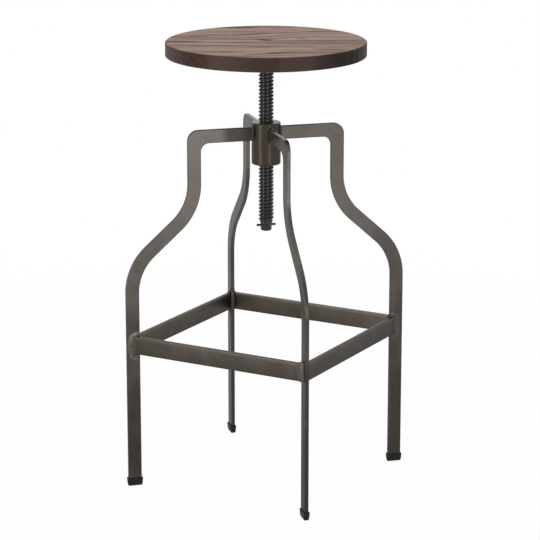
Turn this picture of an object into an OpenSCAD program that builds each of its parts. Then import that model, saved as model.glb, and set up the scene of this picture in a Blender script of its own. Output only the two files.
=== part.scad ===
// Bar stool with a round wooden seat on a screw, four flat-bar legs and a square footrest.
// The origin is on the floor under the screw, +Z is up and the legs stand on the diagonals.
// Heights stack up from the floor: feet, footrest, leg bends, arms, hub, screw and seat.

/* [Seat] */
// Diameter of the wooden seat
seat_d = 315; // [260:1:380]
// Thickness of the wooden seat
seat_t = 23; // [20:1:40]
// Radius of the seat's rounded edges
seat_edge_r = 3; // [1:0.5:8]
// Gap between the collar under the seat and the hub, as shown
seat_raise = 85.5; // [20:0.5:150]

/* [Screw] */
// Diameter over the thread's crests
thread_d = 24; // [20:0.5:30]
// Depth of the thread
thread_depth = 2; // [1:0.1:2.5]
// Distance from one crest to the next
thread_pitch = 5.75; // [5:0.25:8]
// Height of the thread's crests above a whole number of pitches, on the side of +X
thread_shift = 2.6; // [0:0.1:4.9]
// Length of the screw below the seat plate
screw_len = 275; // [240:1:340]
// Length of the plain end below the thread
plain_end_len = 13; // [13:0.5:30]
// Diameter of the plain end
plain_end_d = 18; // [14:0.5:19]
// Radius of the plain end's rounded tip
tip_round_r = 3; // [1:0.5:5]
// Gap between the screw's thread and the hub's thread
thread_gap = 0.35; // [0.3:0.05:0.5]

/* [Stop pin] */
// Diameter of the pin across the screw's lower end
pin_d = 4; // [3:0.5:6]
// Length of the stop pin
pin_len = 29; // [28:1:42]
// Height of the pin above the screw's tip
pin_rise = 9; // [7:0.5:10]

/* [Collar and plate] */
// Outer diameter of the collar round the top of the screw
collar_d = 40; // [34:1:60]
// Height of the collar
collar_h = 14; // [8:1:30]
// Running gap round the screw inside the collar
collar_gap = 0.05; // [0.02:0.01:0.1]
// Gap between the collar and the plate that turns on it
collar_top_gap = 0.3; // [0.2:0.1:0.5]
// Diameter of the steel plate under the seat
plate_d = 150; // [135:1:200]
// Thickness of the plate
plate_t = 5; // [4:0.5:8]
// Diameter of the screw's tenon in the plate
tenon_d = 16; // [12:0.5:18]
// Width of the weld round the tenon
tenon_weld_w = 3; // [2:0.5:4]

/* [Seat screws] */
// Number of wood screws
wood_screw_count = 4; // [3:1:8]
// Diameter of the circle that the wood screws stand on
wood_screw_pcd = 118; // [90:1:120]
// Diameter of a wood screw's shank
wood_screw_d = 5; // [3:0.5:6]
// Length of a wood screw under its head
wood_screw_len = 20; // [12:1:24]
// Diameter of a wood screw's head
wood_head_d = 10; // [9:0.5:12]
// Height of a wood screw's head
wood_head_h = 3.2; // [2.5:0.1:4]
// Gap round a wood screw in the plate's hole
wood_hole_gap = 0.3; // [0.2:0.1:0.5]

/* [Hub] */
// Outer diameter of the threaded hub
hub_d = 46; // [38:1:60]
// Height of the hub
hub_h = 67; // [45:1:90]
// Radius of the hub's rounded ends
hub_edge_r = 2; // [1:0.5:4]
// Height of the hub's top face above the arms
hub_over_arm = 7.5; // [3:0.5:15]

/* [Legs] */
// Width of the flat bar, seen from the side
leg_w = 21.5; // [18:0.5:26]
// Thickness of the flat bar
leg_t = 6.5; // [5:0.5:10]
// Distance of the upper leg from the middle of the stool
neck_r = 117; // [100:1:140]
// Length of the upper leg between the arm and the bend
neck_h = 64; // [30:1:100]
// Distance of the lower leg from the middle of the stool
foot_r = 219; // [205:1:240]
// Radius of both bends, at the middle of the bar
bend_r = 88; // [60:1:100]
// Slope of the leg between its two bends, from the vertical
bend_angle = 48; // [44:0.5:52]
// Radius of the rounded outer corner above the upper leg
corner_outer_r = 17.5; // [10:0.5:20]
// Radius of the rounded inner corner under the arm
corner_inner_r = 13.5; // [6:0.5:18]

/* [Footrest] */
// Height of the footrest's top above the floor
footrest_z = 249; // [180:1:300]
// Height of a footrest bar
bar_h = 29; // [20:1:36]
// Thickness of a footrest bar
bar_t = 7; // [5:0.5:8]
// Height from the footrest to the lower bend
bend_rise = 70; // [20:1:120]

/* [Feet] */
// Height of a rubber foot
cap_h = 13; // [10:0.5:20]
// Thickness of rubber under the leg
cap_floor_t = 6; // [4:0.5:8]
// Wall of the rubber foot at its top
cap_wall = 1.3; // [1:0.1:3]
// Flare of the top edge
cap_flare = 0.5; // [0.2:0.1:1]
// How far the bottom draws in on each side
cap_taper = 1.5; // [0.5:0.1:2.5]
// Radius of the rubber foot's upright corners
cap_corner_r = 1; // [0.5:0.1:1]

/* [Welds] */
// Size of the welds between the arms and the hub
hub_weld_r = 2.6; // [1.5:0.1:4]
// Size of the outer welds between the footrest and the legs
bar_weld_r = 3.4; // [2:0.1:5]
// Size of the inner welds between the footrest and the legs
bar_inner_weld_r = 2.2; // [1.5:0.1:2.5]

/* [Hidden] */

$fn = 96;
THREAD_SIDES = 24;
CAP_CORNER_SIDES = 24;
// Angle between two points of an arc in an outline
ARC_STEP = 4;
// Width of the thread's crests and of each of its flanks, as a share of the pitch
CREST_SHARE = 0.3;
FLANK_SHARE = 0.2;
// Length of the thread's start and end, in turns, where it rises from the core
THREAD_FADE = 0.25;
// Least height of plain core between a thread's ridge and the ends of its rod
THREAD_END = 0.2;
// Overlap of a cutting solid with open air
CUT = 1;

FRONT_LEFT = 225;
FRONT_RIGHT = 315;
BACK_RIGHT = 45;
BACK_LEFT = 135;

leg_run = foot_r - neck_r;
bend_shift = bend_r * (1 - cos(bend_angle));
bend_height = bend_r * sin(bend_angle);
slope_len = (leg_run - 2 * bend_shift) / sin(bend_angle);
bend_low_z = footrest_z + bend_rise;
bend_top_z = bend_low_z + 2 * bend_height + slope_len * cos(bend_angle);
arm_z = bend_top_z + neck_h;
hub_top_z = arm_z + leg_w + hub_over_arm;
hub_low_z = hub_top_z - hub_h;
collar_z = hub_top_z + seat_raise;
plate_z = collar_z + collar_h + collar_top_gap;
seat_z = plate_z + plate_t;
tip_z = plate_z - screw_len;
thread_low_z = tip_z + plain_end_len;
thread_top_z = collar_z;
pin_z = tip_z + pin_rise;
// Distance of a footrest bar's outer face from the middle of the stool
bar_out = (foot_r + leg_t / 2) / sqrt(2);
bar_z = footrest_z - bar_h;
weld_top_r = tenon_d / 2 + tenon_weld_w;

// A point of the thread's ridge, at turn m and angle a, with k from 0 to 3 across the ridge
function ridge_point(m, a, k, core_r, crest_r, half_crest, half_foot, fade) =
    let (
        turn = m + a / 360,
        r = (k == 1 || k == 2) ? core_r + (crest_r - core_r) * fade : core_r,
        rise = [-half_foot, -half_crest, half_crest, half_foot][k]
    )
    [r * cos(a), r * sin(a), turn * thread_pitch + thread_shift + rise];

// How much of the ridge stands at a turn between the first and the last one
function ridge_fade(turn, first, last, fade_turns) =
    fade_turns == 0 ? 1 : max(0, min(1, (turn - first) / fade_turns, (last - turn) / fade_turns));

// A rod with one unbroken helical ridge, in phase with every other one whatever its ends are
module threaded_rod(z0, z1, core_r, crest_r, half_crest, half_foot, fade_turns) {
    first = ceil((z0 + half_foot + THREAD_END - thread_shift) / thread_pitch);
    last = floor((z1 - half_foot - THREAD_END - thread_shift) / thread_pitch) - 1;
    count = 4 * (last - first + 1);
    n = THREAD_SIDES;
    low = n * count;
    top = low + n;
    ridge = [for (i = [0 : n - 1]) for (p = [0 : count - 1])
        let (a = 360 * i / n, m = first + floor(p / 4))
        ridge_point(m, a, p % 4, core_r, crest_r, half_crest, half_foot,
            ridge_fade(m + a / 360, first, last + 1, fade_turns))];
    ends = [for (z = [z0, z1]) for (i = [0 : n - 1])
        [core_r * cos(360 * i / n), core_r * sin(360 * i / n), z]];
    sides = [for (i = [0 : n - 2]) for (p = [0 : count - 2])
        let (a = i * count + p, b = a + count)
        each [[a, a + 1, b + 1], [a, b + 1, b]]];
    seam = [for (p = [0 : count - 6])
        let (a = (n - 1) * count + p, b = p + 4)
        each [[a, a + 1, b + 1], [a, b + 1, b]]];
    low_band = [for (i = [0 : n - 2])
        let (a = low + i, b = i * count)
        each [[a, b, b + count], [a, b + count, a + 1]]];
    top_band = [for (i = [0 : n - 2])
        let (a = i * count + count - 1, b = top + i)
        each [[a, b, b + 1], [a, b + 1, a + count]]];
    low_joint = (n - 1) * count;
    low_fan = concat(
        [[low + n - 1, low_joint, low], [low, low_joint, 0]],
        [for (p = [0 : 3]) [p, low_joint, p + 1]]);
    top_joint = count - 1;
    top_fan = concat(
        [[top_joint, low_joint + count - 1, top + n - 1], [top_joint, top + n - 1, top]],
        [for (p = [count - 5 : count - 2]) [top_joint, low_joint + p, low_joint + p + 1]]);
    low_end = [[for (i = [0 : n - 1]) low + i]];
    top_end = [[for (i = [n - 1 : -1 : 0]) top + i]];
    polyhedron(concat(ridge, ends),
        concat(sides, seam, low_band, top_band, low_fan, top_fan, low_end, top_end));
}

// The half of a round piece's section, with both outer edges rounded
module rounded_section(r, h, edge_r) {
    square([r - edge_r, h]);
    translate([0, edge_r]) square([r, h - 2 * edge_r]);
    for (y = [edge_r, h - edge_r]) translate([r - edge_r, y]) circle(edge_r);
}

// Points along an arc about the centre c, from angle a0 to a1
function arc_points(c, r, a0, a1) =
    let (steps = ceil(abs(a1 - a0) / ARC_STEP))
    [for (i = [0 : steps]) let (a = a0 + (a1 - a0) * i / steps) c + r * [cos(a), sin(a)]];

// The leg's side outline: x runs out from the middle of the stool and y is the height
module leg_outline() {
    half_w = leg_w / 2;
    low_bend = [foot_r - bend_r, bend_low_z];
    top_bend = [neck_r + bend_r, bend_top_z];
    outer_corner = [neck_r + half_w - corner_outer_r, arm_z + leg_w - corner_outer_r];
    inner_corner = [neck_r - half_w - corner_inner_r, arm_z - corner_inner_r];
    polygon(concat(
        [[foot_r + half_w, cap_floor_t]],
        arc_points(low_bend, bend_r + half_w, 0, bend_angle),
        arc_points(top_bend, bend_r - half_w, 180 + bend_angle, 180),
        arc_points(outer_corner, corner_outer_r, 0, 90),
        [[0, arm_z + leg_w], [0, arm_z]],
        arc_points(inner_corner, corner_inner_r, 90, 0),
        arc_points(top_bend, bend_r + half_w, 180, 180 + bend_angle),
        arc_points(low_bend, bend_r - half_w, bend_angle, 0),
        [[foot_r - half_w, cap_floor_t]]));
}

module leg(angle) {
    color([0.36, 0.34, 0.31]) difference() {
        rotate(angle) rotate([90, 0, 0])
            translate([0, 0, -leg_t / 2]) linear_extrude(leg_t) leg_outline();
        translate([0, 0, arm_z - CUT]) cylinder(d = hub_d, h = leg_w + 2 * CUT);
    }
}

module leg_front_left() { leg(FRONT_LEFT); }
module leg_front_right() { leg(FRONT_RIGHT); }
module leg_back_right() { leg(BACK_RIGHT); }
module leg_back_left() { leg(BACK_LEFT); }

// One level slice of a rubber foot, grown by the given amount past the leg on every side
module foot_slice(z, grow) {
    x = leg_w / 2 + grow - cap_corner_r;
    y = leg_t / 2 + grow - cap_corner_r;
    slice_t = 0.01;
    translate([0, 0, z]) linear_extrude(slice_t)
        for (sx = [-1, 1]) for (sy = [-1, 1])
            translate([sx * x, sy * y]) circle(cap_corner_r, $fn = CAP_CORNER_SIDES);
}

module foot(angle) {
    slice_t = 0.01;
    color([0.08, 0.08, 0.08]) rotate(angle) translate([foot_r, 0, 0]) difference() {
        union() {
            hull() {
                foot_slice(0, cap_wall - cap_taper);
                foot_slice(cap_floor_t - slice_t, cap_wall);
            }
            hull() {
                foot_slice(cap_floor_t - slice_t, cap_wall);
                foot_slice(cap_h - slice_t, cap_wall + cap_flare);
            }
        }
        translate([-leg_w / 2, -leg_t / 2, cap_floor_t]) cube([leg_w, leg_t, cap_h]);
    }
}

module foot_front_left() { foot(FRONT_LEFT); }
module foot_front_right() { foot(FRONT_RIGHT); }
module foot_back_right() { foot(BACK_RIGHT); }
module foot_back_left() { foot(BACK_LEFT); }

// The floor plan of the front footrest bar, mitred to the two legs' inner side faces
module bar_plan() {
    half_out = bar_out - leg_t / sqrt(2);
    half_in = half_out - bar_t;
    polygon([[-half_out, -bar_out], [half_out, -bar_out],
        [half_in, bar_t - bar_out], [-half_in, bar_t - bar_out]]);
}

module footrest_bar(turn) {
    color([0.36, 0.34, 0.31])
        rotate(turn) translate([0, 0, bar_z]) linear_extrude(bar_h) bar_plan();
}

module footrest_front() { footrest_bar(0); }
module footrest_right() { footrest_bar(90); }
module footrest_back() { footrest_bar(180); }
module footrest_left() { footrest_bar(270); }

module threaded_hub() {
    half_crest = CREST_SHARE * thread_pitch / 2 + thread_gap / 2;
    half_foot = half_crest + FLANK_SHARE * thread_pitch;
    color([0.33, 0.31, 0.26]) difference() {
        translate([0, 0, hub_low_z]) rotate_extrude()
            rounded_section(hub_d / 2, hub_h, hub_edge_r);
        threaded_rod(hub_low_z - 2.5 * thread_pitch, hub_top_z + 2.5 * thread_pitch,
            thread_d / 2 - thread_depth + thread_gap, thread_d / 2 + thread_gap,
            half_crest, half_foot, 0);
    }
}

// Two upright beads in the corners between each arm and the hub
module hub_welds() {
    corner = sqrt(pow(hub_d / 2, 2) - pow(leg_t / 2, 2));
    color([0.3, 0.29, 0.26]) for (angle = [45 : 90 : 315]) for (side = [-1, 1])
        rotate(angle) difference() {
            translate([corner, side * leg_t / 2, arm_z])
                cylinder(r = hub_weld_r, h = leg_w);
            translate([0, 0, arm_z - CUT]) cylinder(d = hub_d, h = leg_w + 2 * CUT);
            translate([0, -leg_t / 2, arm_z - CUT]) cube([hub_d, leg_t, leg_w + 2 * CUT]);
        }
}

// Upright beads on both sides of each joint between a footrest bar and a leg
module footrest_welds() {
    half_out = bar_out - leg_t / sqrt(2);
    half_in = half_out - bar_t;
    beads = [[half_out, -bar_out, bar_weld_r], [half_in, bar_t - bar_out, bar_inner_weld_r]];
    color([0.36, 0.34, 0.31]) for (turn = [0 : 90 : 270]) for (side = [0, 1])
        rotate(turn) mirror([side, 0, 0]) for (bead = beads)
            difference() {
                translate([bead[0], bead[1], bar_z]) cylinder(r = bead[2], h = bar_h);
                translate([0, 0, bar_z - CUT]) linear_extrude(bar_h + 2 * CUT) bar_plan();
                translate([0, 0, bar_z - CUT]) rotate(FRONT_RIGHT)
                    translate([foot_r - leg_w / 2, -leg_t / 2, 0])
                        cube([leg_w, leg_t, bar_h + 2 * CUT]);
            }
}

module screw() {
    core_r = thread_d / 2 - thread_depth;
    half_crest = CREST_SHARE * thread_pitch / 2;
    half_foot = half_crest + FLANK_SHARE * thread_pitch;
    color([0.12, 0.12, 0.12]) union() {
        threaded_rod(thread_low_z, thread_top_z, core_r, thread_d / 2,
            half_crest, half_foot, THREAD_FADE);
        difference() {
            translate([0, 0, tip_z]) rotate_extrude() {
                translate([0, tip_round_r]) square([plain_end_d / 2, plain_end_len - tip_round_r]);
                square([plain_end_d / 2 - tip_round_r, tip_round_r]);
                translate([plain_end_d / 2 - tip_round_r, tip_round_r]) circle(tip_round_r);
            }
            pin_shape(plain_end_d + 2 * CUT);
        }
        translate([0, 0, thread_top_z]) cylinder(d = thread_d, h = plate_z - thread_top_z);
        translate([0, 0, plate_z]) cylinder(d = tenon_d, h = plate_t);
    }
}

// A round bar across the screw's lower end, along the diagonal of two legs
module pin_shape(len) {
    translate([0, 0, pin_z]) rotate(BACK_RIGHT) rotate([0, 90, 0])
        cylinder(d = pin_d, h = len, center = true);
}

module stop_pin() {
    color([0.12, 0.12, 0.12]) pin_shape(pin_len);
}

module screw_collar() {
    color([0.14, 0.14, 0.14]) translate([0, 0, collar_z]) difference() {
        rotate_extrude() rounded_section(collar_d / 2, collar_h, 1);
        translate([0, 0, -CUT])
            cylinder(r = thread_d / 2 + collar_gap, h = collar_h + 2 * CUT);
    }
}

// Places its children on the circle of the wood screws
module at_wood_screws() {
    for (i = [0 : wood_screw_count - 1])
        rotate(360 * i / wood_screw_count) translate([wood_screw_pcd / 2, 0, 0]) children();
}

module seat_plate() {
    color([0.16, 0.16, 0.16]) difference() {
        translate([0, 0, plate_z]) cylinder(d = plate_d, h = plate_t);
        translate([0, 0, plate_z - CUT]) cylinder(d = tenon_d, h = plate_t + 2 * CUT);
        weld_cone(CUT);
        at_wood_screws() translate([0, 0, plate_z - CUT])
            cylinder(r = wood_screw_d / 2 + wood_hole_gap, h = plate_t + 2 * CUT);
    }
}

// The sunk cone of the tenon's weld, extended upwards by the given length
module weld_cone(extra) {
    translate([0, 0, plate_z + plate_t - tenon_weld_w])
        cylinder(r1 = tenon_d / 2, r2 = weld_top_r, h = tenon_weld_w);
    if (extra > 0) translate([0, 0, plate_z + plate_t]) cylinder(r = weld_top_r, h = extra);
}

module tenon_weld() {
    color([0.3, 0.3, 0.3]) difference() {
        weld_cone(0);
        translate([0, 0, plate_z]) cylinder(d = tenon_d, h = plate_t + CUT);
    }
}

module seat_screws() {
    slot_w = 1.2;
    slot_len = 0.6 * wood_head_d;
    slot_depth = wood_head_h / 2;
    color([0.6, 0.6, 0.58]) at_wood_screws() translate([0, 0, plate_z]) {
        difference() {
            translate([0, 0, -wood_head_h]) rotate_extrude() intersection() {
                square([wood_head_d / 2, wood_head_h]);
                translate([0, wood_head_d]) circle(wood_head_d);
            }
            for (turn = [0, 90]) rotate(turn)
                translate([-slot_len / 2, -slot_w / 2, -wood_head_h - CUT])
                    cube([slot_len, slot_w, slot_depth + CUT]);
        }
        cylinder(d = wood_screw_d, h = wood_screw_len);
    }
}

module wooden_seat() {
    hole_depth = wood_screw_len - plate_t;
    color([0.42, 0.36, 0.32]) difference() {
        translate([0, 0, seat_z]) rotate_extrude()
            rounded_section(seat_d / 2, seat_t, seat_edge_r);
        at_wood_screws() translate([0, 0, seat_z - CUT])
            cylinder(d = wood_screw_d, h = hole_depth + CUT);
    }
}

leg_front_left();
leg_front_right();
leg_back_right();
leg_back_left();
foot_front_left();
foot_front_right();
foot_back_right();
foot_back_left();
footrest_front();
footrest_right();
footrest_back();
footrest_left();
threaded_hub();
hub_welds();
footrest_welds();
screw();
stop_pin();
screw_collar();
seat_plate();
tenon_weld();
seat_screws();
wooden_seat();
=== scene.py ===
# %% [markdown]
# A screw-seat bar stool, finished piece by piece
#
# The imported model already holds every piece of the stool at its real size. This lesson gives each piece
# the surface that a close look shows: steel bars with softened edges, a thread that catches the light,
# ground welds, moulded rubber and a stained wooden seat. Nothing is moved or resized. Each new piece is
# worked out from the place of the solid that it stands for.

import math

import bpy
import numpy as np
from mathutils import Matrix, Vector


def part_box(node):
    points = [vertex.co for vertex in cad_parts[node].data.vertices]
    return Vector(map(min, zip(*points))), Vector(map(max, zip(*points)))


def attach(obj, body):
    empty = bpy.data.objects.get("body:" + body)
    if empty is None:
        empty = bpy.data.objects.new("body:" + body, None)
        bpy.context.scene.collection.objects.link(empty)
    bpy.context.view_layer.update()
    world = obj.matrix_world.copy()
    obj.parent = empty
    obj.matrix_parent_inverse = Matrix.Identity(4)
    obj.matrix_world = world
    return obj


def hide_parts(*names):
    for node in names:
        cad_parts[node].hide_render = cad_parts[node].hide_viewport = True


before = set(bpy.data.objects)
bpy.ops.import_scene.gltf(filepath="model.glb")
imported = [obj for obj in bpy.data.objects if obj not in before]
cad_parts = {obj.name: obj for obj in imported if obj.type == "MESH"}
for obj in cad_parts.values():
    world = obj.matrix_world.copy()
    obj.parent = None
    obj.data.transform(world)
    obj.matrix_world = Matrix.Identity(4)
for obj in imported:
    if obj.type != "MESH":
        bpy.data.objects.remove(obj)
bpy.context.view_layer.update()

# %% [markdown]
# The camera comes first, because every choice of detail depends on how large a piece looks. A long lens
# from about four metres keeps the four legs nearly parallel, and a small tilt shows the seat's top.
# The camera's own axes are worked out from two angles, so that it can be aimed without any constraint.

# %% Camera
camera_turn = math.radians(29.2)
camera_tilt = math.radians(14.71)
camera_distance = 3.753
camera_lens = 156.9
aim_height = 0.353
aim_right = 0.00615
aim_up = -0.01132


def add_object(name, data):
    """A new object of the scene, at the origin."""
    thing = bpy.data.objects.new(name, data)
    bpy.context.scene.collection.objects.link(thing)
    return thing


def make_camera():
    """back points from the aim to the lens, right lies level, and up = back x right."""
    level = math.cos(camera_tilt)
    back = Vector((math.sin(camera_turn) * level, -math.cos(camera_turn) * level, math.sin(camera_tilt)))
    right = Vector((math.cos(camera_turn), math.sin(camera_turn), 0))
    up = back.cross(right)
    place = Vector((0, 0, aim_height)) + right * aim_right + up * aim_up + back * camera_distance
    camera = add_object("camera", bpy.data.cameras.new("camera"))
    camera.data.lens = camera_lens
    camera.matrix_world = Matrix.Translation(place) @ Matrix((right, up, back)).transposed().to_4x4()
    bpy.context.scene.camera = camera
    return camera


print("camera at", [round(c, 3) for c in make_camera().matrix_world.translation])

# %% [markdown]
# Nearly every piece of this stool is a tube in a wide sense: closed rings of points, one after another,
# joined by bands of four-cornered faces. A bar is rings along its length, and a turned piece is rings
# round its axis. So one function that numbers the faces serves them all.

# %% Rings joined into a closed surface
def stacked(*columns):
    """The columns side by side along a new last axis, each first spread to the shape of the largest."""
    return np.stack(np.broadcast_arrays(*columns), axis=-1)


def band_faces(rings):
    """Faces between rings. Corner (i, j) is number i * sides + j, and j wraps round."""
    count, sides = rings.shape[:2]
    i, j = np.meshgrid(np.arange(count - 1), np.arange(sides), indexing="ij")
    here = i * sides + j
    beside = i * sides + (j + 1) % sides
    return stacked(here, beside, beside + sides, here + sides).reshape(-1, 4).tolist()


def end_faces(rings):
    """One flat face on the first ring, turned round to look backwards, and one on the last."""
    count, sides = rings.shape[:2]
    ring = np.arange(sides)
    return [ring[::-1].tolist(), (ring + (count - 1) * sides).tolist()]


def shifted(faces, first):
    """The same faces for points that begin at number first."""
    return [[first + k for k in face] for face in faces]


# %% [markdown]
# A piece keeps its place in its own points, and its object stays at the origin, as the solids do. Some
# patterns follow the metal and not the room: brush marks run along a bar even round its bends. For those,
# each point also stores where it would lie if the bar were straight. Such notes are kept under a name.

# %% Points and faces into a piece
smooth_below = math.radians(38)


def add_piece(name, points, faces=None, even=False, **notes):
    """A mesh object from points and faces, or from rings alone, which make a tube with flat ends. A note
    gives each point three more numbers, which a finish reads by its name. even keeps large faces flat in
    their shading beside small rounded edges."""
    faces = faces or band_faces(points) + end_faces(points)
    mesh = bpy.data.meshes.new(name)
    mesh.from_pydata(points.reshape(-1, 3).tolist(), [], faces)
    for label, numbers in notes.items():
        note = mesh.attributes.new(label, "FLOAT_VECTOR", "POINT")
        note.data.foreach_set("vector", numbers.astype(np.float32).ravel())
    mesh.shade_smooth()
    mesh.set_sharp_from_angle(angle=smooth_below)
    piece = add_object(name, mesh)
    if even:
        piece.modifiers.new("even_shading", "WEIGHTED_NORMAL").keep_sharp = True
    return piece


def dress(piece, body, nodes, material):
    """Lets the piece ride on its body, stand for its solids and wear its finish."""
    piece.data.materials.append(material)
    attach(piece, body)
    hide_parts(*nodes)
    print(f"{piece.name}: {len(piece.data.polygons)} faces on {body}, for {', '.join(nodes)}")


# %% [markdown]
# A finish is a web of shader nodes. Written as formulas it stays readable, so a small class stands for one
# socket and turns arithmetic into Math nodes. A second class adds every other kind of node in one way:
# the kind, its settings, and then the values or links of its sockets.

# %% Shader maths written as formulas
def operator(operation, swapped=False):
    """A method that adds the Math node of self and another value, in the other order if swapped."""
    def method(self, other):
        terms = (other, self) if swapped else (self, other)
        return self.web.math(operation, *terms)
    return method


class Value:
    """One output socket. An expression on it adds the Math nodes that work it out."""

    def __init__(self, web, socket):
        self.web = web
        self.socket = socket

    __add__ = operator("ADD")
    __radd__ = operator("ADD", swapped=True)
    __sub__ = operator("SUBTRACT")
    __rsub__ = operator("SUBTRACT", swapped=True)
    __mul__ = operator("MULTIPLY")
    __rmul__ = operator("MULTIPLY", swapped=True)
    __truediv__ = operator("DIVIDE")
    __rtruediv__ = operator("DIVIDE", swapped=True)
    __pow__ = operator("POWER")
    __rpow__ = operator("POWER", swapped=True)


def socket_of(sockets, key):
    """The socket of that name, or at that place, among those that the node's settings leave in use."""
    used = [socket for socket in sockets if socket.enabled]
    return used[key] if isinstance(key, int) else next(s for s in used if s.name == key)


def set_stops(ramp, stops):
    """Colours of a ramp, as pairs of a position and a colour."""
    while len(ramp.elements) < len(stops):
        ramp.elements.new(0.5)
    for element, (position, colour) in zip(ramp.elements, stops):
        element.position = position
        element.color = colour


class Web:
    """The nodes of one material or world."""

    def __init__(self, tree):
        self.tree = tree

    def feed(self, socket, value):
        if isinstance(value, Value):
            self.tree.links.new(value.socket, socket)
        else:
            socket.default_value = value

    def add(self, kind, settings=None, inputs=None):
        """Adds a node, sets it, feeds its sockets by name or in order, and gives its outputs."""
        node = self.tree.nodes.new(kind)
        for key, setting in (settings or {}).items():
            if key == "stops":
                set_stops(node.color_ramp, setting)
            else:
                setattr(node, key, setting)
        given = inputs.items() if isinstance(inputs, dict) else enumerate(inputs or ())
        for key, value in given:
            self.feed(socket_of(node.inputs, key), value)
        return {socket.name: Value(self, socket) for socket in node.outputs if socket.enabled}

    def math(self, operation, *terms):
        return self.add("ShaderNodeMath", {"operation": operation}, terms)["Value"]

    def noise(self, place, stretch, detail=2.0, roughness=0.5, warp=0.0):
        """Noise whose grains are 1 / stretch metres long, on every axis or on each of the three."""
        sockets = {"Vector": place, "Scale": np.broadcast_to(stretch, 3).tolist()}
        scaled = self.add("ShaderNodeMapping", {}, sockets)["Vector"]
        sockets = {"Vector": scaled, "Scale": 1.0, "Detail": detail, "Roughness": roughness,
                   "Distortion": warp}
        return self.add("ShaderNodeTexNoise", {}, sockets)["Fac"]

    def rise(self, value, low, high):
        """0 below low, 1 above high, and a smooth slope between them."""
        ends = {"Value": value, "From Min": low, "From Max": high}
        return self.add("ShaderNodeMapRange", {"interpolation_type": "SMOOTHSTEP"}, ends)["Result"]

    def blend(self, factor, low, high):
        """The colour low where factor is 0 and the colour high where it is 1."""
        sockets = {"Factor": factor, "A": low, "B": high}
        return self.add("ShaderNodeMix", {"data_type": "RGBA"}, sockets)["Result"]


# %% [markdown]
# Colours are written as they look on a screen, from 0 to 255. Blender counts light instead, so a helper
# bends each number by the screen's curve. A finish then starts from the one shader that suits metal,
# rubber and wood alike.

# %% Colours and the start of a finish
def shade(red, green, blue):
    """A screen colour as light: below 0.04 it is divided by 12.92, and above it follows a power of 2.4."""
    screen = np.array([red, green, blue]) / 255
    light = np.where(screen <= 0.04045, screen / 12.92, ((screen + 0.055) / 1.055) ** 2.4)
    return (*light.tolist(), 1.0)


class Finish(Web):
    """A material with its main shader, whose steady values are set straight on its sockets."""

    def __init__(self, name, **steady):
        self.material = bpy.data.materials.new(name)
        self.material.use_nodes = True
        super().__init__(self.material.node_tree)
        self.shader = self.tree.nodes["Principled BSDF"]
        for key, value in steady.items():
            self.set(key.replace("_", " "), value)

    def set(self, name, value):
        self.feed(socket_of(self.shader.inputs, name), value)

    def relief(self, height, depth, strength):
        """Bumps of the given depth in metres, where height goes from 0 to 1."""
        sockets = {"Height": height, "Distance": depth, "Strength": strength}
        self.set("Normal", self.add("ShaderNodeBump", {}, sockets)["Normal"])

    def place(self):
        return self.add("ShaderNodeTexCoord")["Object"]

    def note(self, label):
        return self.add("ShaderNodeAttribute", {"attribute_name": label})["Vector"]

    def parts_of(self, place):
        split = self.add("ShaderNodeSeparateXYZ", {}, {"Vector": place})
        return split["X"], split["Y"], split["Z"]

    def distance(self):
        """sqrt(x^2 + y^2), from the stool's upright axis."""
        x, y = self.parts_of(self.place())[:2]
        return (x * x + y * y) ** 0.5

    def height(self):
        return self.parts_of(self.place())[2]


# %% [markdown]
# The frame is flat steel with an antique gunmetal finish under a satin lacquer. It is grey-brown, soft in
# its shine and a little uneven: fine brush marks follow each bar, and broad clouds of darker metal lie
# under the lacquer. The marks use the straightened place, so they turn with the bends. Painted shade
# darkens the metal down by the floor, on the arms near the hub and on a bar's narrow sides, and a painted
# highlight lightens an arm's top. A footrest bar is paler along its top edge, with painted shade down its
# face.

# %% Gunmetal finish
# Below: where the frame's painted shade, pale top band and painted highlight begin and end.
floor_shade_low = 0.02
floor_shade_high = 0.5
edge_tint = (0.65, 0.65, 0.65, 1.0)
dull_edge_tint = (0.4, 0.4, 0.4, 1.0)
side_shade_inside = 0.0101
side_shade_outside = 0.0107
hub_shade_inside = 0.044
hub_shade_outside = 0.077
pale_top_inside = 0.0085
pale_top_outside = 0.0135
top_highlight_depth = 0.0012
top_highlight_full = 0.0003
arm_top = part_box("leg_back_right")[1].z


def paint_top_highlight(finish, colour, rough, top, amount):
    """Sets a colour and a roughness that turn smooth, and pale by a painted highlight, on faces that look up
    at the height top.
    """
    top_highlight = finish.rise(finish.height(), top - top_highlight_depth, top - top_highlight_full) * amount
    finish.set("Base Color", finish.blend(top_highlight, colour, shade(185, 182, 178)))
    finish.set("Roughness", rough - top_highlight * 0.25)


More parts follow.
